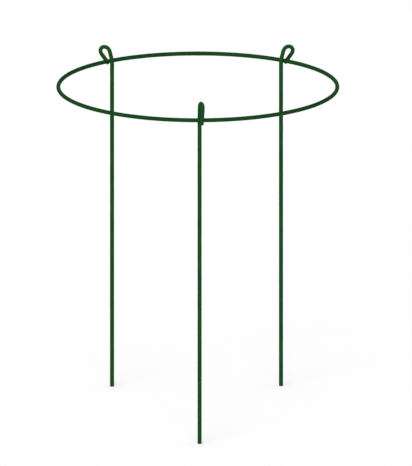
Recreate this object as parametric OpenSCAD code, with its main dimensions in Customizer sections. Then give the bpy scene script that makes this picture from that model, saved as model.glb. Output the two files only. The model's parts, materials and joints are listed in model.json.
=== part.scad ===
// Plant support: a round ring of plastic-coated steel wire, carried by three wire stakes.
// The top of each stake is bent into an eye that hangs on the ring and slides round it.
// Millimetres, +Z up. The feet stand on z = 0, and the ring's axis is the Z axis.

/* [Wire] */
// Diameter of the steel wire
core_d = 4.8; // [3:0.1:6]
// Thickness of the plastic coat
coat_t = 0.5; // [0.4:0.05:0.9]
// Chamfer on each cut end of the wire and of its coat
end_chamfer = 0.5; // [0.2:0.1:0.6]
// Loss of wire radius in a bend, taken twice in the hook that ends an eye
bend_thin = 0.05; // [0.03:0.01:0.1]

/* [Ring] */
// Outer diameter of the ring
ring_d = 400; // [300:5:500]
// Height of the ring's wire centre above the feet
ring_h = 472; // [300:0.5:800]

/* [Stakes] */
// Place of the left stake round the ring, in degrees from +X
left_at = 129.4; // [120:0.1:140]
// Place of the right stake round the ring, in degrees from +X
right_at = 52; // [40:0.1:60]
// Place of the front stake round the ring, in degrees from +X
front_at = 270.75; // [260:0.05:280]
// Turn of the left eye off the ring's radius, in degrees
left_turn = 25; // [-40:0.5:40]
// Turn of the right eye off the ring's radius, in degrees
right_turn = -27.5; // [-40:0.5:40]
// Turn of the front eye off the ring's radius, in degrees
front_turn = 22; // [-40:0.5:40]
// Radius of the bend at the top of each shank
first_bend_r = 15; // [10:1:25]

/* [Side eyes] */
// Lean of a side eye's leg off the upright, in degrees
side_lean = 16; // [5:0.5:25]
// Length of a side eye's straight leg
side_leg = 11.3; // [8:0.1:16]
// Radius of the bend at the top of a side eye
side_bend_r = 7.9; // [6:0.1:10]
// Roll of a side eye's hook out of the plane of its leg, in degrees
side_roll = 15; // [0:0.5:25]
// Height above the ring's wire centre where a side shank starts to bend
side_start = 0; // [0:0.5:4]
// Length of a side eye's tail past the ring
side_tail = 2.7; // [0.5:0.1:6]

/* [Front eye] */
// Lean of the front eye's leg off the upright, in degrees
front_lean = 3; // [1:0.5:15]
// Length of the front eye's straight leg
front_leg = 15.3; // [10:0.1:22]
// Radius of the bend at the top of the front eye
front_bend_r = 5.8; // [5:0.1:8]
// Roll of the front eye's hook out of the plane of its leg, in degrees
front_roll = 4; // [0:0.5:25]
// Height above the ring's wire centre where the front shank starts to bend
front_start = 2.5; // [0:0.5:5]
// Length of the front eye's tail past the ring
front_tail = 5.8; // [0.5:0.1:8]

/* [Fits] */
// Clear space between the ring and the two legs of an eye
play = 0.4; // [0.3:0.05:0.8]
// Length by which a bend runs on into the thicker wire next to it
lap = 0.4; // [0.2:0.1:0.5]

/* [Hidden] */
$fn = 96;
wire_d = core_d + 2 * coat_t;
ring_r = (ring_d - wire_d) / 2;
seat = wire_d + play;
side_eye = [side_bend_r, side_lean, side_leg, side_roll, side_start, side_tail];
front_eye = [front_bend_r, front_lean, front_leg, front_roll, front_start, front_tail];
coat_colour = "#194b1d";
steel_colour = "#9a9c9e";

// Angle that a bend turns through along the lap.
function lap_a(bend_r) = lap / bend_r * 180 / PI;

// Top of an eye, as [outwards, upwards] from the end of its shank.
function eye_top(eye) =
    let (bend_r = eye[0], lean = eye[1], leg = eye[2])
    [
        first_bend_r * (1 - cos(lean)) + leg * sin(lean) + bend_r * cos(lean),
        first_bend_r * sin(lean) + leg * cos(lean) + bend_r * (1 - sin(lean)),
    ];

// The next five look along the ring's wire, as [outwards, upwards] from its centre.
// Way in which the wire runs over the top of an eye.
function over_way(turn) = [cos(turn), 0];

// Way in which the hook curls down from there, tipped outwards by its roll.
function curl_way(turn, roll) = [sin(roll) * abs(sin(turn)), -cos(roll)];

// Way in which the tail runs on after the hook.
function tail_way(eye, turn, hook_a) =
    cos(hook_a) * over_way(turn) + sin(hook_a) * curl_way(turn, eye[3]);

// End of the hook, where the tail starts.
function hook_end(eye, turn, hook_a) =
    let (bend_r = eye[0], roll = eye[3], start = eye[4], top = eye_top(eye))
    [top.x * cos(turn) - seat, top.y + start]
        + bend_r * sin(hook_a) * over_way(turn)
        + bend_r * (1 - cos(hook_a)) * curl_way(turn, roll);

// Distance at which the tail passes outside the ring's wire centre.
function tail_gap(eye, turn, hook_a) =
    let (from = hook_end(eye, turn, hook_a), way = tail_way(eye, turn, hook_a))
    (from.y * way.x - from.x * way.y) / norm(way);

// Angle to which the hook closes until its tail just clears the ring, found by halving.
function closed_hook(eye, turn, open_a = 60, shut_a = 175, halvings = 24) =
    let (mid_a = (open_a + shut_a) / 2)
    halvings == 0 ? open_a
    : tail_gap(eye, turn, mid_a) > seat ? closed_hook(eye, turn, mid_a, shut_a, halvings - 1)
    : closed_hook(eye, turn, open_a, mid_a, halvings - 1);

// Length of the tail, to its nearest place to the ring and on past it.
function tail_length(eye, turn, hook_a) =
    let (from = hook_end(eye, turn, hook_a), way = tail_way(eye, turn, hook_a), tail = eye[5])
    tail - (from * way) / (way * way);

// Straight wire from the origin up +Z, chamfered at its far end.
module rod(wire_r, length) {
    rotate_extrude()
        polygon([
            [0, 0],
            [wire_r, 0],
            [wire_r, length - end_chamfer],
            [wire_r - end_chamfer, length],
            [0, length],
        ]);
}

// Bent wire from the origin, setting out up +Z and turning towards +X. Its children go on from its end.
module bend(wire_r, bend_r, bend_a, lap_after = true) {
    first_a = 180 - bend_a - (lap_after ? lap_a(bend_r) : 0);
    last_a = 180 + lap_a(bend_r);
    translate([bend_r, 0, 0])
        rotate([90, 0, 0])
            rotate([0, 0, first_a])
                rotate_extrude(angle = last_a - first_a)
                    translate([bend_r, 0])
                        circle(r = wire_r);
    translate([bend_r * (1 - cos(bend_a)), 0, bend_r * sin(bend_a)])
        rotate([0, bend_a, 0])
            children();
}

module ring_wire(wire_r) {
    translate([0, 0, ring_h])
        rotate_extrude()
            translate([ring_r, 0])
                circle(r = wire_r);
}

// One stake: shank, first bend, straight leg, top bend, hook and tail, each going on from the last.
// The shank stands inside the ring, and the hook brings the tail down outside it.
module stake_wire(wire_r, inset, at, turn, eye) {
    bend_r = eye[0];
    lean = eye[1];
    leg = eye[2];
    roll = eye[3];
    start = eye[4];
    hook_a = closed_hook(eye, turn);

    rotate([0, 0, at])
        translate([ring_r - seat, 0, ring_h + start])
            rotate([0, 0, turn]) {
                rotate([180, 0, 0])
                    rod(wire_r, ring_h + start - inset);
                bend(wire_r - bend_thin, first_bend_r, lean) {
                    cylinder(r = wire_r, h = leg);
                    translate([0, 0, leg])
                        bend(wire_r - bend_thin, bend_r, 90 - lean, lap_after = false)
                            rotate([0, 0, turn > 0 ? -roll : roll])
                                bend(wire_r - 2 * bend_thin, bend_r, hook_a)
                                    rod(wire_r, tail_length(eye, turn, hook_a) - inset);
                }
            }
}

module left_stake_wire(wire_r, inset) {
    stake_wire(wire_r, inset, left_at, left_turn, side_eye);
}

module right_stake_wire(wire_r, inset) {
    stake_wire(wire_r, inset, right_at, right_turn, side_eye);
}

module front_stake_wire(wire_r, inset) {
    stake_wire(wire_r, inset, front_at, front_turn, front_eye);
}

module ring_core() {
    color(steel_colour)
        ring_wire(core_d / 2);
}

module ring_coating() {
    color(coat_colour)
        difference() {
            ring_wire(wire_d / 2);
            ring_wire(core_d / 2);
        }
}

module left_stake_core() {
    color(steel_colour)
        left_stake_wire(core_d / 2, coat_t);
}

module left_stake_coating() {
    color(coat_colour)
        difference() {
            left_stake_wire(wire_d / 2, 0);
            left_stake_wire(core_d / 2, coat_t);
        }
}

module right_stake_core() {
    color(steel_colour)
        right_stake_wire(core_d / 2, coat_t);
}

module right_stake_coating() {
    color(coat_colour)
        difference() {
            right_stake_wire(wire_d / 2, 0);
            right_stake_wire(core_d / 2, coat_t);
        }
}

module front_stake_core() {
    color(steel_colour)
        front_stake_wire(core_d / 2, coat_t);
}

module front_stake_coating() {
    color(coat_colour)
        difference() {
            front_stake_wire(wire_d / 2, 0);
            front_stake_wire(core_d / 2, coat_t);
        }
}

ring_core();
ring_coating();
left_stake_core();
left_stake_coating();
right_stake_core();
right_stake_coating();
front_stake_core();
front_stake_coating();
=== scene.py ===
"""Looks of a plant support ring: a hoop of coated wire that hangs on three sliding wire stakes.

Lengths are in metres and follow the CAD part. The coat of each wire is a round profile carried
along the wire's centre line, and takes the place of the CAD coating. The steel cores stay.
"""

import json
import math

import bpy
import numpy as np
from bpy.props import FloatProperty, FloatVectorProperty, PointerProperty
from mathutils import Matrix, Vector


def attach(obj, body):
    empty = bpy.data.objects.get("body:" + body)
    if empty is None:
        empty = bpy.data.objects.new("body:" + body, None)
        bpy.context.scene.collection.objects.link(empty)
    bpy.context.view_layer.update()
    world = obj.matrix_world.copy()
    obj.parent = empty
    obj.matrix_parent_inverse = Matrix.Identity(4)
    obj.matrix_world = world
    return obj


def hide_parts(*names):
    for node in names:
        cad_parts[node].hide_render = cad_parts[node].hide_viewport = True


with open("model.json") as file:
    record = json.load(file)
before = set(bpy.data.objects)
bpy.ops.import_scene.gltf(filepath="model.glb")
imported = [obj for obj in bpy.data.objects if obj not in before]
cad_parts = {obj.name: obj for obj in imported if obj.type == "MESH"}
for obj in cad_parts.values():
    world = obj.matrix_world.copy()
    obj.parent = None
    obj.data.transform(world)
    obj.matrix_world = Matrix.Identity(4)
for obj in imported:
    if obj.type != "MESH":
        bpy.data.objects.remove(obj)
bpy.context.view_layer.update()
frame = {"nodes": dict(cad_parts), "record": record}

bl_info = {
    "name": "Plant Support Ring",
    "version": (1, 0, 0),
    "blender": (4, 5, 0),
    "location": "3D View > Sidebar > Plant Ring",
    "description": "Adds a ring of plastic-coated wire on three sliding wire stakes",
    "category": "Add Mesh",
}

MM = 0.001
JOINT_PLACE = frame["record"]["behaviour"]["joints"][0]["pos_m"]
FEET = {mount["name"]: mount["pos_m"] for mount in frame["record"]["mounts"]}

# Each stake, which is also a body, with the kind of eye at its top.
STAKES = (("left_stake", "side"), ("right_stake", "side"), ("front_stake", "front"))

COLUMNS = 32  # points round the wire
RING_STEP = 1.5 * MM  # length of a face along the ring
SHANK_STEP = 2.0 * MM  # length of a face along a straight shank
EYE_STEP = 0.25 * MM  # length of a face along an eye
EYE_MARGIN = 8.0 * MM  # straight wire below an eye that has the eye's fine faces
PATH_STEP = 0.05 * MM  # step in which a centre line is added up
AVERAGED = 9  # places that an average along the wire takes in
EASE = 1.2 * MM  # length over which a straight stretch eases into a bend
BEND_FADE = 5.0 * MM  # length over which a bend's marks on the coat fade out
ROLL_EASE = 1.5 * MM  # length before and after the top of an eye over which its plane rolls
HOOK_TRIALS = np.radians(np.arange(60, 175, 0.02))  # angles that a hook is tried at
END_ROWS = 7  # rows of points on the rounded edge of a wire's end
FOLD = 1.7 * MM  # distance between the coat's folds inside a bend
WELD_AT = math.pi / 2  # place of the weld round the ring, at the back
WELD_FADE = 4.0 * MM  # length on each side of the weld over which its swelling fades

LAMP_WAY = Vector((0.25, 0.85, -0.45)).normalized()  # from the front, a little left and above
CAMERA_AWAY = 3.0  # distance from the camera to what it looks at
FLOOR_HALF = 8.0  # half the width of the floor
FLOOR_DROP = 0.2 * MM  # depth of the floor below the feet, whose faces then don't lie in it


def linear(code):
    """Linear RGB of an sRGB hex colour, by the curve of the sRGB standard."""
    parts = np.array([int(code[i : i + 2], 16) for i in (1, 3, 5)]) / 255
    low = parts / 12.92
    high = ((parts + 0.055) / 1.055) ** 2.4
    return tuple(np.where(parts <= 0.04045, low, high).tolist())


def length(name, description, default):
    """A size that a user may change."""
    return FloatProperty(
        name=name, description=description, default=default, min=0.0, precision=5, unit="LENGTH"
    )


def angle(name, description, degrees):
    """An angle that a user may change."""
    return FloatProperty(
        name=name, description=description, default=math.radians(degrees), unit="ROTATION"
    )


def share(name, description, default):
    """A share of a whole that a user may change."""
    return FloatProperty(
        name=name, description=description, default=default, min=0.0, max=1.0, subtype="FACTOR"
    )


def colour(name, description, code):
    """A colour that a user may change."""
    return FloatVectorProperty(
        name=name, description=description, default=linear(code), min=0.0, max=1.0, subtype="COLOR"
    )


def foot_place(name):
    """Where a foot stands round the ring, in degrees from +X."""
    return math.degrees(math.atan2(FEET[name][1], FEET[name][0])) % 360


class PlantRingSizes(bpy.types.PropertyGroup):
    """Sizes of the wire, the ring, the stakes and their eyes."""

    wire_d: length("Wire", "Diameter of the wire over its coat", 5.8 * MM)
    ring_d: length("Ring", "Outer diameter of the ring", 400 * MM)
    ring_h: length("Ring height", "Height of the ring's wire centre above the feet", JOINT_PLACE[2])
    play: length("Play", "Clear space between the ring and the two legs of an eye", 0.4 * MM)

    left_stake_at: angle("Left place", "Place of the left stake", foot_place("left_foot"))
    left_stake_turn: angle("Left turn", "Turn of the left eye off the ring's radius", 25)
    right_stake_at: angle("Right place", "Place of the right stake", foot_place("right_foot"))
    right_stake_turn: angle("Right turn", "Turn of the right eye off the ring's radius", -27.5)
    front_stake_at: angle("Front place", "Place of the front stake", foot_place("front_foot"))
    front_stake_turn: angle("Front turn", "Turn of the front eye off the ring's radius", 22)
    first_bend_r: length("First bend", "Radius of the bend at the top of each shank", 15 * MM)

    side_lean: angle("Side lean", "Lean of a side eye's leg off the upright", 16)
    side_leg: length("Side leg", "Length of a side eye's straight leg", 11.3 * MM)
    side_bend_r: length("Side bend", "Radius of the bend at the top of a side eye", 7.9 * MM)
    side_roll: angle("Side roll", "Roll of a side eye's hook out of the plane of its leg", 15)
    side_start: length("Side start", "Height above the ring where a side shank starts to bend", 0)
    side_tail: length("Side tail", "Length of a side eye's tail past the ring", 2.7 * MM)

    front_lean: angle("Front lean", "Lean of the front eye's leg off the upright", 3)
    front_leg: length("Front leg", "Length of the front eye's straight leg", 15.3 * MM)
    front_bend_r: length("Front bend", "Radius of the bend at the top of the front eye", 5.8 * MM)
    front_roll: angle("Front roll", "Roll of the front eye's hook out of the plane of its leg", 4)
    front_start: length("Front start", "Height above the ring where its shank bends", 2.5 * MM)
    front_tail: length("Front tail", "Length of the front eye's tail past the ring", 5.8 * MM)

    end_round: length("End rounding", "Radius of the coat's edge at a wire's end", 0.8 * MM)
    unevenness: length("Unevenness", "How far the coat's thickness wanders", 0.03 * MM)
    bend_thin: length("Bend thinning", "Loss of radius in the tightest bends", 0.1 * MM)
    bend_shift: length("Bend shift", "How far a bend pushes the coat to its inner side", 0.08 * MM)
    wrinkle: length("Wrinkles", "Height of the coat's folds inside the tightest bends", 0.035 * MM)
    weld_swell: length("Weld", "Swelling of the coat where the ring is closed", 0.12 * MM)


class PlantRingFinish(bpy.types.PropertyGroup):
    """Colours of the coat, the steel and the floor, and how much of the ring's coat takes the
    darker green.
    """

    coat: colour("Coat", "Plastic coat of the wires", "#1b5020")
    # A darker green, mixed in at random along each wire and taken for most of the ring, which so is
    # coloured a shade darker than the stakes.
    coat_dark: colour("Dark coat", "Coat where it is thicker and darker", "#16431a")
    coat_pale: colour("Pale coat", "Coat where a bend stretched it or it was rubbed", "#2f6133")
    # The ring is coloured a shade darker than the stakes: this share of its coat takes the darker
    # green.
    ring_dark_share: share("Darker ring coat", "Share of the ring's coat that is thick", 0.8)
    steel: colour("Steel", "Drawn wire under the coat", "#9a9c9e")
    floor: colour("Floor", "Paper that the ring stands on", "#f4f4f4")


class PlantRingStage(bpy.types.PropertyGroup):
    """Camera and light of the studio."""

    tilt: angle("Camera tilt", "How far the camera looks down", 13.85)
    view_height: length("View height", "Height of the picture in the ring's own scale", 658.4 * MM)
    aside: length("Aside", "How far the picture's middle lies to the right of the ring", 11.57 * MM)
    below: length("Below", "How far the picture's middle lies below the ring's centre", 206.45 * MM)
    sky: share("Sky", "Light from all sides, where 1 is white", 0.5)
    sun: share("Lamp", "Light of the lamp on what faces it, where 1 is white", 0.55)
    sun_soft: angle("Lamp size", "Angle that the lamp fills, which softens shadows", 60)


def per(millimetres):
    """Scale of a pattern whose features are so many millimetres across."""
    return 1 / (millimetres * MM)


def add_node(tree, kind, sockets=None, **settings):
    """Adds a node. Settings are its own, and each socket gets a value or another node's output."""
    made = tree.nodes.new(kind)
    for name, value in settings.items():
        setattr(made, name, value)
    for name, value in (sockets or {}).items():
        if isinstance(value, bpy.types.NodeSocket):
            tree.links.new(value, made.inputs[name])
        else:
            made.inputs[name].default_value = value
    return made


def new_material(name):
    """An empty material and its node tree."""
    material = bpy.data.materials.new(name)
    material.use_nodes = True
    material.node_tree.nodes.clear()
    return material, material.node_tree


def satin_pvc(finish):
    """Green PVC, drawn over the wire hot and bent with it.

    It gives the viewer's eye a deep green with little shine, slow changes of shade where the coat
    is thicker, fine lines along the wire, a slight grain like orange peel, sparse rubbed marks
    along the wire, and paler plastic where the tight bends stretched it.
    """
    material, tree = new_material("satin_pvc_coat")
    place = add_node(tree, "ShaderNodeTexCoord").outputs["Object"]
    straight = add_node(tree, "ShaderNodeAttribute", attribute_name="straight").outputs["Vector"]
    bend = add_node(tree, "ShaderNodeAttribute", attribute_name="bend").outputs["Fac"]
    lighter_share = add_node(tree, "ShaderNodeAttribute", attribute_name="lighter_share").outputs["Fac"]

    # The green darkens where the coat is thicker, which changes over about 25 mm of wire. The ring
    # is coloured a shade darker than the stakes, as its coat reaches the lighter green only a
    # little.
    shade = add_node(
        tree,
        "ShaderNodeTexNoise",
        {"Vector": place, "Scale": per(25), "Detail": 4.0, "Roughness": 0.6},
    )
    shade_share = add_node(
        tree,
        "ShaderNodeMapRange",
        {"Value": shade.outputs["Fac"], "From Min": 0.35, "From Max": 0.65, "To Max": lighter_share},
    )
    body = add_node(
        tree,
        "ShaderNodeMix",
        {
            "Factor": shade_share.outputs["Result"],
            "A": (*finish.coat_dark, 1.0),
            "B": (*finish.coat, 1.0),
        },
        data_type="RGBA",
    )

    # Rubbed marks are about 12 mm long and 1.5 mm wide, and lie along the wire.
    rub_place = add_node(
        tree,
        "ShaderNodeMapping",
        {"Vector": straight, "Scale": (per(12), per(1.5), per(1.5))},
    )
    rub = add_node(
        tree,
        "ShaderNodeTexNoise",
        {"Vector": rub_place.outputs["Vector"], "Scale": 1.0, "Detail": 3.0},
    )
    rub_share = add_node(
        tree,
        "ShaderNodeMapRange",
        {"Value": rub.outputs["Fac"], "From Min": 0.6, "From Max": 0.8, "To Max": 0.6},
    )
    rubbed = add_node(
        tree,
        "ShaderNodeMix",
        {
            "Factor": rub_share.outputs["Result"],
            "A": body.outputs["Result"],
            "B": (*finish.coat_pale, 1.0),
        },
        data_type="RGBA",
    )

    # Stretched plastic turns pale in streaks across the bend, about 1 mm wide.
    streak_place = add_node(
        tree,
        "ShaderNodeMapping",
        {"Vector": straight, "Scale": (per(1), per(4), per(4))},
    )
    streak = add_node(
        tree,
        "ShaderNodeTexNoise",
        {"Vector": streak_place.outputs["Vector"], "Scale": 1.0, "Detail": 2.0},
    )
    streak_share = add_node(
        tree,
        "ShaderNodeMapRange",
        {"Value": streak.outputs["Fac"], "From Min": 0.45, "From Max": 0.75, "To Max": 0.5},
    )
    stretch = add_node(
        tree,
        "ShaderNodeMath",
        {0: streak_share.outputs["Result"], 1: bend},
        operation="MULTIPLY",
    )
    stretched = add_node(
        tree,
        "ShaderNodeMix",
        {
            "Factor": stretch.outputs["Value"],
            "A": rubbed.outputs["Result"],
            "B": (*finish.coat_pale, 1.0),
        },
        data_type="RGBA",
    )

    roughness = add_node(
        tree,
        "ShaderNodeMapRange",
        {
            "Value": rub.outputs["Fac"],
            "From Min": 0.3,
            "From Max": 0.7,
            "To Min": 0.65,
            "To Max": 0.8,
        },
    )

    # Lines along the wire, 0.7 mm apart, and a grain of 1.2 mm, both coarser than on real wire so
    # that they show from close by.
    line_place = add_node(
        tree,
        "ShaderNodeMapping",
        {"Vector": straight, "Scale": (per(150), per(0.7), per(0.7))},
    )
    lines = add_node(
        tree,
        "ShaderNodeTexNoise",
        {"Vector": line_place.outputs["Vector"], "Scale": 1.0, "Detail": 2.0},
    )
    grain = add_node(
        tree,
        "ShaderNodeTexNoise",
        {"Vector": place, "Scale": per(1.2), "Detail": 2.0},
    )
    line_bump = add_node(
        tree,
        "ShaderNodeBump",
        {"Height": lines.outputs["Fac"], "Strength": 0.5, "Distance": 0.04 * MM},
    )
    skin = add_node(
        tree,
        "ShaderNodeBump",
        {
            "Height": grain.outputs["Fac"],
            "Strength": 0.5,
            "Distance": 0.05 * MM,
            "Normal": line_bump.outputs["Normal"],
        },
    )

    # The object has almost no shine, so its reflections are held far down.
    surface = add_node(
        tree,
        "ShaderNodeBsdfPrincipled",
        {
            "Base Color": stretched.outputs["Result"],
            "Roughness": roughness.outputs["Result"],
            "IOR": 1.53,
            "Specular IOR Level": 0.02,
            "Normal": skin.outputs["Normal"],
        },
    )
    add_node(tree, "ShaderNodeOutputMaterial", {"Surface": surface.outputs["BSDF"]})
    return material


def drawn_steel(finish):
    """Low-carbon steel wire, drawn cold through a die.

    It gives the viewer's eye a bright grey metal with a soft shine and a faint speckle of drawing
    soap, which is drawn coarser than on real wire so that it shows.
    """
    soap_shade = 0.7  # share of the steel's own shade that is left where soap covers it
    material, tree = new_material("drawn_steel_wire")
    place = add_node(tree, "ShaderNodeTexCoord").outputs["Object"]
    speckle = add_node(
        tree,
        "ShaderNodeTexNoise",
        {"Vector": place, "Scale": per(0.8), "Detail": 3.0},
    )
    shade = add_node(
        tree,
        "ShaderNodeMix",
        {
            "Factor": speckle.outputs["Fac"],
            "A": (*(soap_shade * channel for channel in finish.steel), 1.0),
            "B": (*finish.steel, 1.0),
        },
        data_type="RGBA",
    )
    roughness = add_node(
        tree,
        "ShaderNodeMapRange",
        {"Value": speckle.outputs["Fac"], "To Min": 0.25, "To Max": 0.45},
    )
    surface = add_node(
        tree,
        "ShaderNodeBsdfPrincipled",
        {
            "Base Color": shade.outputs["Result"],
            "Metallic": 1.0,
            "Roughness": roughness.outputs["Result"],
        },
    )
    add_node(tree, "ShaderNodeOutputMaterial", {"Surface": surface.outputs["BSDF"]})
    return material


def seen_share(tree):
    """1 on rays of the camera, of mirrors and of glass, and 0 on rays that light things."""
    path = add_node(tree, "ShaderNodeLightPath")
    either = add_node(
        tree,
        "ShaderNodeMath",
        {0: path.outputs["Is Camera Ray"], 1: path.outputs["Is Glossy Ray"]},
        operation="MAXIMUM",
    )
    return add_node(
        tree,
        "ShaderNodeMath",
        {0: either.outputs["Value"], 1: path.outputs["Is Transmission Ray"]},
        operation="MAXIMUM",
    ).outputs["Value"]


def studio_paper(finish, stage):
    """Matt white paper. What is seen of it is lifted to white, and its shadows stay."""
    material, tree = new_material("studio_paper")
    paper = add_node(tree, "ShaderNodeBsdfDiffuse", {"Color": (*finish.floor, 1.0)})
    lit = min(finish.floor) * (stage.sky - stage.sun * LAMP_WAY.z)
    glow = add_node(tree, "ShaderNodeEmission", {"Strength": max(0.0, 1 - lit)})
    lifted = add_node(
        tree, "ShaderNodeAddShader", {0: paper.outputs["BSDF"], 1: glow.outputs["Emission"]}
    )
    surface = add_node(
        tree,
        "ShaderNodeMixShader",
        {0: seen_share(tree), 1: paper.outputs["BSDF"], 2: lifted.outputs["Shader"]},
    )
    add_node(tree, "ShaderNodeOutputMaterial", {"Surface": surface.outputs["Shader"]})
    return material


made_materials = {}


def material_once(maker, *settings):
    """The material that a maker gives, made once and then shared."""
    if maker.__name__ not in made_materials:
        made_materials[maker.__name__] = maker(*settings)
    return made_materials[maker.__name__]


def closed_hook(seat, turn, roll, bend_r, top):
    """How far a hook closes until its tail just clears the ring, and the tail's length to there.

    Looks along the ring's wire, outwards and upwards from its centre. From the top of the eye the
    wire sets out level and curls down in a plane that is rolled outwards. At each trial angle the
    hook's end and the tail's way give the distance at which the tail's line passes the centre.
    """
    over = np.array([math.cos(turn), 0])
    curl = np.array([math.sin(roll) * abs(math.sin(turn)), -math.cos(roll)])
    hook = HOOK_TRIALS[:, None]
    tail_from = top + bend_r * (np.sin(hook) * over + (1 - np.cos(hook)) * curl)
    tail_way = np.cos(hook) * over + np.sin(hook) * curl
    size = np.linalg.norm(tail_way, axis=1)
    gap = (tail_from[:, 1] * tail_way[:, 0] - tail_from[:, 0] * tail_way[:, 1]) / size
    last = np.argmax(gap < seat) - 1
    if last < 0:
        raise ValueError("An eye is too narrow for the ring, or too wide to close on it")
    nearest = -(tail_from * tail_way).sum(axis=1) / size**2
    return HOOK_TRIALS[last], nearest[last]


def eye_stretches(sizes, stake, kind):
    """The stretches of a stake's centre line: shank, first bend, leg, top bend, hook and tail.

    Gives the arc length at each end of the stretches and the wire's heading there, counted from
    straight up towards the outside.
    """
    lean = getattr(sizes, kind + "_lean")
    leg = getattr(sizes, kind + "_leg")
    bend_r = getattr(sizes, kind + "_bend_r")
    start = getattr(sizes, kind + "_start")
    turn = getattr(sizes, stake + "_turn")
    first_r = sizes.first_bend_r
    seat = sizes.wire_d + sizes.play
    level = math.pi / 2

    outwards = first_r * (1 - math.cos(lean)) + leg * math.sin(lean) + bend_r * math.cos(lean)
    upwards = first_r * math.sin(lean) + leg * math.cos(lean) + bend_r * (1 - math.sin(lean))
    top = np.array([outwards * math.cos(turn) - seat, start + upwards])
    hook, nearest = closed_hook(seat, turn, getattr(sizes, kind + "_roll"), bend_r, top)
    stretches = (
        (sizes.ring_h + start, 0),
        (first_r * lean, lean),
        (leg, lean),
        (bend_r * (level - lean), level),
        (bend_r * hook, level + hook),
        (nearest + getattr(sizes, kind + "_tail"), level + hook),
    )
    lengths, headings = np.array([(0, 0), *stretches]).T
    return np.cumsum(lengths), headings


def eye_ways(sizes, stake, heading, rolled):
    """Three unit vectors along a stake's wire: ahead, to the inner side of its bends, and across.

    The wire heads between the eye's way outwards and the upright. Past the top the upright is
    rolled about the way outwards, so that the hook leaves the plane of the leg.
    """
    way = getattr(sizes, stake + "_at") + getattr(sizes, stake + "_turn")
    out = np.array([math.cos(way), math.sin(way), 0])
    side = np.array([-math.sin(way), math.cos(way), 0])
    up = np.array([0, 0, 1])
    heading = heading[:, None]
    rolled = rolled[:, None]
    upright = np.cos(rolled) * up + np.sin(rolled) * side
    ahead = np.sin(heading) * out + np.cos(heading) * upright
    inner = np.cos(heading) * out - np.sin(heading) * upright
    across = np.cos(rolled) * side - np.sin(rolled) * up
    return ahead, inner, across


def averaged(along, span, places, values):
    """Values that are known at some places along a wire, averaged over a span round each point."""
    windows = along + np.linspace(-span / 2, span / 2, AVERAGED)[:, None]
    return np.interp(windows, places, values).mean(axis=0)


def centre_line(sizes, stake, kind):
    """A stake's centre line, from its foot to the end of its tail.

    The heading changes evenly along each stretch and is averaged over a short length, so that a
    bend eases in. The way ahead, added up along the wire, gives its places. Gives arc length,
    heading, roll and places.
    """
    ends, headings = eye_stretches(sizes, stake, kind)
    along = np.linspace(0, ends[-1], int(ends[-1] / PATH_STEP) + 1)
    heading = averaged(along, EASE, ends, headings)
    top = np.interp(math.pi / 2, headings[1:-1], ends[1:-1])
    roll = math.copysign(getattr(sizes, kind + "_roll"), getattr(sizes, stake + "_turn"))
    rolled = np.interp(along, (top - ROLL_EASE, top + ROLL_EASE), (0, roll))

    at = getattr(sizes, stake + "_at")
    ring_r = (sizes.ring_d - sizes.wire_d) / 2
    seat = sizes.wire_d + sizes.play
    foot = (ring_r - seat) * np.array([[math.cos(at), math.sin(at), 0]])
    ahead = eye_ways(sizes, stake, heading, rolled)[0]
    steps = (ahead[1:] + ahead[:-1]) / 2 * along[1]
    places = np.concatenate([foot, foot + np.cumsum(steps, axis=0)])
    return along, heading, rolled, places


def wire_rows(shank, whole, end_round):
    """Where the rows of points lie along a stake, and how far each is drawn in at a wire's end.

    A quarter circle rounds each end. The shank has long rows, and the eye short ones.
    """
    quarter = np.linspace(0, math.pi / 2, END_ROWS)
    edge = end_round * (1 - np.cos(quarter))
    drawn_in = end_round * (1 - np.sin(quarter))
    eye = shank - EYE_MARGIN
    last = whole - end_round
    shank_rows = np.linspace(end_round, eye, int((eye - end_round) / SHANK_STEP) + 1)
    eye_rows = np.linspace(eye, last, int((last - eye) / EYE_STEP) + 1)
    along = np.concatenate([edge, shank_rows[1:-1], eye_rows, (whole - edge[:-1])[::-1]])
    inset = np.concatenate(
        [drawn_in, np.zeros(len(shank_rows) + len(eye_rows) - 2), drawn_in[:-1][::-1]]
    )
    return along, inset


def uneven(along, around, whole):
    """A slow wander between -1 and 1: three waves along the wire that lean round it.

    Along a closed ring of the given length each wave fits a whole number of times.
    """
    # Each wave has its length, its turns round the wire and its phase.
    waves = ((61 * MM, 1, 0.0), (37 * MM, -2, 1.3), (23 * MM, 3, 2.1))
    parts = [
        np.sin(2 * math.pi * along * max(1, round(whole / wave)) / whole + turns * around + phase)
        for wave, turns, phase in waves
    ]
    return sum(parts) / len(parts)


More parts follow.
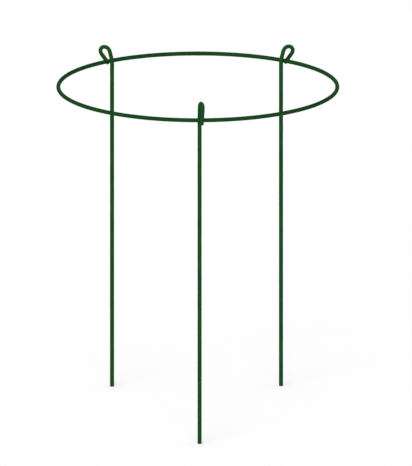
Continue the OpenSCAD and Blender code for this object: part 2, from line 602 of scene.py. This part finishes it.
def build_coat(name, body, points, along, around, bend, lighter_share, poles, material):
    """Makes the mesh of a coat from its grid of points, rows along the wire and columns round it.

    The columns join up round the wire. Without poles the rows join up too, as on the ring;
    otherwise a fan of triangles closes each end at its pole. Each point also keeps its place on the
    wire as if that were straight, for the patterns that follow it, how bent it is, and how far its
    coat may reach the lighter green, which is little on the ring so that it is coloured darker.
    """
    rows, columns = points.shape[:2]
    spots = points.reshape(-1, 3)
    row = np.arange(rows if poles is None else rows - 1)[:, None]
    column = np.arange(columns)
    next_row = (row + 1) % rows
    next_column = (column + 1) % columns
    corners = (
        row * columns + column,
        row * columns + next_column,
        next_row * columns + next_column,
        next_row * columns + column,
    )
    faces = np.stack(corners, axis=-1).reshape(-1, 4).tolist()

    out = np.linalg.norm(points - points.mean(axis=1, keepdims=True), axis=-1)
    straight = np.stack(
        [
            np.broadcast_to(along[:, None], out.shape),
            out * np.cos(around),
            out * np.sin(around),
        ],
        axis=-1,
    ).reshape(-1, 3)
    bent = np.broadcast_to(bend[:, None], out.shape).reshape(-1)

    if poles is not None:
        first = rows * columns
        last_row = (rows - 1) * columns
        spots = np.concatenate([spots, poles])
        straight = np.concatenate([straight, [[along[0], 0, 0], [along[-1], 0, 0]]])
        bent = np.concatenate([bent, [bend[0], bend[-1]]])
        start_fan = np.stack([np.full(columns, first), next_column, column], axis=-1)
        end_fan = np.stack(
            [np.full(columns, first + 1), last_row + column, last_row + next_column], axis=-1
        )
        faces += start_fan.tolist() + end_fan.tolist()

    mesh = bpy.data.meshes.new(name)
    mesh.from_pydata(spots.tolist(), [], faces)
    kept = (
        ("straight", "FLOAT_VECTOR", "vector", straight.ravel()),
        ("bend", "FLOAT", "value", bent),
        ("lighter_share", "FLOAT", "value", np.full(len(bent), lighter_share)),
    )
    for title, kind, field, values in kept:
        mesh.attributes.new(title, kind, "POINT").data.foreach_set(field, values)
    mesh.polygons.foreach_set("use_smooth", np.ones(len(mesh.polygons), dtype=bool))
    mesh.update()
    if mesh.validate():
        raise RuntimeError(f"{name} has faces that can't be drawn")
    mesh.materials.append(material)

    coat = bpy.data.objects.new(name, mesh)
    bpy.context.scene.collection.objects.link(coat)
    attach(coat, body)
    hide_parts(body + "_coating")


class PLANTRING_OT_ring_coat(bpy.types.Operator):
    """Adds the coat of the ring"""

    bl_idname = "plant_ring.ring_coat"
    bl_label = "Ring Coat"

    def execute(self, context):
        """A circle of the wire's radius carried round the ring's own circle.

        The radius wanders a little, and swells where the wire was welded into a ring.
        """
        sizes = context.scene.plant_ring_sizes
        wire_r = sizes.wire_d / 2
        ring_r = sizes.ring_d / 2 - wire_r
        whole = 2 * math.pi * ring_r
        rows = int(whole / RING_STEP)
        turn = (np.arange(rows) / rows * 2 * math.pi)[:, None]
        around = (np.arange(COLUMNS) / COLUMNS * 2 * math.pi)[None, :]
        along = turn * ring_r
        from_weld = (turn - WELD_AT) * ring_r
        radius = wire_r + sizes.unevenness * uneven(along, around, whole)
        radius = radius + sizes.weld_swell * np.exp(-((from_weld / WELD_FADE) ** 2))
        away = ring_r + radius * np.cos(around)
        height = sizes.ring_h - radius * np.sin(around)
        points = np.stack([away * np.cos(turn), away * np.sin(turn), height], axis=-1)
        finish = context.scene.plant_ring_finish
        build_coat(
            "ring_coat",
            "ring",
            points,
            along[:, 0],
            around,
            bend=np.zeros(rows),
            # The ring is coloured a shade darker than the stakes, mostly in the darker green.
            lighter_share=1 - finish.ring_dark_share,
            poles=None,
            material=material_once(satin_pvc, finish),
        )
        return {"FINISHED"}


class PLANTRING_OT_stake_coats(bpy.types.Operator):
    """Adds the coats of the three stakes"""

    bl_idname = "plant_ring.stake_coats"
    bl_label = "Stake Coats"

    def execute(self, context):
        """A circle of the wire's radius carried along each stake's centre line.

        In a bend the radius shrinks, the coat moves towards the inner side, and folds rise there
        as a sine along the wire. The wire's ends are rounded.
        """
        sizes = context.scene.plant_ring_sizes
        material = material_once(satin_pvc, context.scene.plant_ring_finish)
        around = (np.arange(COLUMNS) / COLUMNS * 2 * math.pi)[None, :]
        for stake, kind in STAKES:
            line, heading, rolled, places = centre_line(sizes, stake, kind)
            along, inset = wire_rows(sizes.ring_h, line[-1], sizes.end_round)
            curve = averaged(along, BEND_FADE, line, np.gradient(heading, line))
            bend = np.clip(curve * getattr(sizes, kind + "_bend_r"), 0, 1)
            heading = np.interp(along, line, heading)
            rolled = np.interp(along, line, rolled)
            middle = np.stack([np.interp(along, line, axis) for axis in places.T], axis=-1)
            inner, across = eye_ways(sizes, stake, heading, rolled)[1:]

            # A column keeps its side of the wire, while the inner side of the bends rolls past it.
            from_inner = around + rolled[:, None]
            folded = np.clip(np.cos(from_inner), 0, 1) ** 2
            folds = np.sin(2 * math.pi * along / FOLD)[:, None]
            radius = sizes.wire_d / 2 + sizes.unevenness * uneven(along[:, None], around, line[-1])
            radius = radius - sizes.bend_thin * bend[:, None]
            radius = radius + sizes.bend_shift * bend[:, None] * np.cos(from_inner)
            radius = radius + sizes.wrinkle * bend[:, None] ** 2 * folded * folds
            radius = radius - inset[:, None]
            points = (
                middle[:, None]
                + (radius * np.cos(from_inner))[..., None] * inner[:, None]
                + (radius * np.sin(from_inner))[..., None] * across[:, None]
            )
            build_coat(
                stake + "_coat",
                stake,
                points,
                along,
                around,
                bend=bend,
                lighter_share=1.0,
                poles=middle[[0, -1]],
                material=material,
            )
        return {"FINISHED"}


class PLANTRING_OT_wire_cores(bpy.types.Operator):
    """Gives the steel cores of the CAD model their finish"""

    bl_idname = "plant_ring.wire_cores"
    bl_label = "Wire Cores"

    def execute(self, context):
        """Every CAD node that is a core takes the steel in place of its plain material."""
        steel = material_once(drawn_steel, context.scene.plant_ring_finish)
        cores = [node for name, node in frame["nodes"].items() if name.endswith("_core")]
        for core in cores:
            for slot in core.material_slots:
                slot.material = steel
        return {"FINISHED"}


class PLANTRING_OT_stage(bpy.types.Operator):
    """Sets up the floor, the light and the camera"""

    bl_idname = "plant_ring.stage"
    bl_label = "Stage"

    def execute(self, context):
        """A white floor and sky, a broad lamp from the front, and a camera without perspective."""
        scene = context.scene
        stage = scene.plant_ring_stage
        sizes = scene.plant_ring_sizes
        scene.view_settings.view_transform = "Standard"

        mesh = bpy.data.meshes.new("floor")
        signs = ((-1, -1), (1, -1), (1, 1), (-1, 1))
        corners = [(x * FLOOR_HALF, y * FLOOR_HALF, -FLOOR_DROP) for x, y in signs]
        mesh.from_pydata(corners, [], [(0, 1, 2, 3)])
        mesh.materials.append(material_once(studio_paper, scene.plant_ring_finish, stage))
        floor = bpy.data.objects.new("floor", mesh)
        scene.collection.objects.link(floor)

        world = bpy.data.worlds.new("studio_sky")
        world.use_nodes = True
        tree = world.node_tree
        tree.nodes.clear()
        strength = add_node(
            tree,
            "ShaderNodeMapRange",
            {"Value": seen_share(tree), "To Min": stage.sky, "To Max": 1.0},
        )
        sky = add_node(
            tree,
            "ShaderNodeBackground",
            {"Color": (1.0, 1.0, 1.0, 1.0), "Strength": strength.outputs["Result"]},
        )
        add_node(tree, "ShaderNodeOutputWorld", {"Surface": sky.outputs["Background"]})
        scene.world = world

        lamp = bpy.data.lights.new("studio_lamp", "SUN")
        lamp.energy = stage.sun * math.pi
        lamp.angle = stage.sun_soft
        lamp_object = bpy.data.objects.new("studio_lamp", lamp)
        lamp_object.rotation_euler = LAMP_WAY.to_track_quat("-Z", "Y").to_euler()
        scene.collection.objects.link(lamp_object)

        camera = bpy.data.cameras.new("camera")
        camera.type = "ORTHO"
        camera.ortho_scale = stage.view_height
        camera_object = bpy.data.objects.new("camera", camera)
        ahead = Vector((0, math.cos(stage.tilt), -math.sin(stage.tilt)))
        upward = Vector((0, math.sin(stage.tilt), math.cos(stage.tilt)))
        aim = Vector((stage.aside, 0, sizes.ring_h)) - stage.below * upward
        camera_object.location = aim - CAMERA_AWAY * ahead
        camera_object.rotation_euler = ahead.to_track_quat("-Z", "Y").to_euler()
        scene.collection.objects.link(camera_object)
        scene.camera = camera_object
        return {"FINISHED"}


class VIEW3D_PT_plant_ring(bpy.types.Panel):
    """Lists the sizes, the colours and the steps of the plant ring"""

    bl_label = "Plant Ring"
    bl_space_type = "VIEW_3D"
    bl_region_type = "UI"
    bl_category = "Plant Ring"

    def draw(self, context):
        """One column with every setting, then one button for each step."""
        column = self.layout.column()
        for name in GROUPS:
            group = getattr(context.scene, name)
            for setting in group.bl_rna.properties.keys():
                if setting not in ("rna_type", "name"):
                    column.prop(group, setting)
        for step in STEPS:
            column.operator(step.bl_idname)


GROUPS = {
    "plant_ring_sizes": PlantRingSizes,
    "plant_ring_finish": PlantRingFinish,
    "plant_ring_stage": PlantRingStage,
}
STEPS = (
    PLANTRING_OT_ring_coat,
    PLANTRING_OT_stake_coats,
    PLANTRING_OT_wire_cores,
    PLANTRING_OT_stage,
)
CLASSES = (*GROUPS.values(), *STEPS, VIEW3D_PT_plant_ring)


def register():
    """Registers the classes and hangs the settings on the scene."""
    for kind in CLASSES:
        bpy.utils.register_class(kind)
    for name, group in GROUPS.items():
        setattr(bpy.types.Scene, name, PointerProperty(type=group))


def unregister():
    """Takes the settings and the classes away again."""
    for name in GROUPS:
        delattr(bpy.types.Scene, name)
    for kind in reversed(CLASSES):
        bpy.utils.unregister_class(kind)


def main():
    """Makes every piece and the stage."""
    register()
    bpy.ops.plant_ring.ring_coat()
    bpy.ops.plant_ring.stake_coats()
    bpy.ops.plant_ring.wire_cores()
    bpy.ops.plant_ring.stage()


if __name__ == "__main__":
    main()
